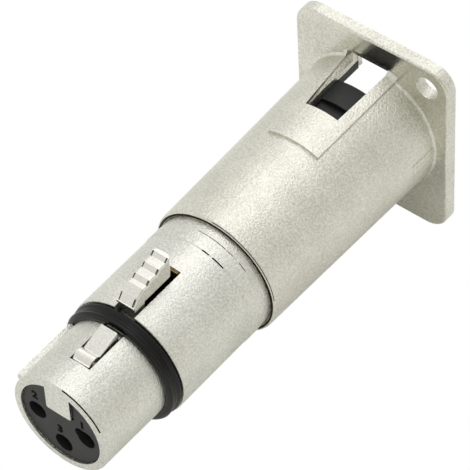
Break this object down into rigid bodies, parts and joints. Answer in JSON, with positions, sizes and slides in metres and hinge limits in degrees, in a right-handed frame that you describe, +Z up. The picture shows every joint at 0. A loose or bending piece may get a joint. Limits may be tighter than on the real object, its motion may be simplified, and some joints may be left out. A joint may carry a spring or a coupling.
{
  "type": "xlr panel adapter",
  "caption": "Flanged panel adapter with a recessed male audio socket in its flange and a latching female plug nose at the end of its metal body.",
  "frame": {"origin": "centre of the flange's flat mounting face, on the connector axis, between the two screw holes", "axes": "+Y along the connector axis towards the female plug's nose, +Z up on the side of the thumb latch, X across the flange"},
  "size_m": [0.026, 0.0691, 0.031],
  "materials": {
    "plated_housing": "satin nickel plate on a zinc die casting",
    "plated_shell": "satin nickel plate on a zinc die casting",
    "plated_lever": "bright nickel plate",
    "black_nylon": "moulded black nylon",
    "black_rubber": "smooth moulded rubber",
    "steel_pin": "drawn steel",
    "phosphor_bronze": "rolled strip",
    "plated_contact": "silver plate on turned brass",
    "copper": "tinned copper strand",
    "wire_insulation": "extruded vinyl"
  },
  "bodies": {
    "adapter": {"housing": "plated_housing", "female_shell": "plated_shell", "male_insulator": "black_nylon", "female_insulator": "black_nylon", "o_ring": "black_rubber", "latch_pin": "steel_pin", "latch_spring": "phosphor_bronze", "male_contact_1": "plated_contact", "female_contact_1": "plated_contact", "wire_core_1": "copper", "wire_jacket_1": "wire_insulation", "male_contact_2": "plated_contact", "female_contact_2": "plated_contact", "wire_core_2": "copper", "wire_jacket_2": "wire_insulation", "male_contact_3": "plated_contact", "female_contact_3": "plated_contact", "wire_core_3": "copper", "wire_jacket_3": "wire_insulation"},
    "latch": {"latch_lever": "plated_lever"}
  },
  "joints": [
    {"name": "latch_press", "type": "hinge", "parent": "adapter", "child": "latch", "pos_m": [0, 0.0629, 0.00705], "axis": [1, 0, 0], "range_deg": [0, 12], "stiffness_Nm_per_rad": 0.08, "springref_deg": -20.05, "deforming": ["latch_spring"]}
  ]
}
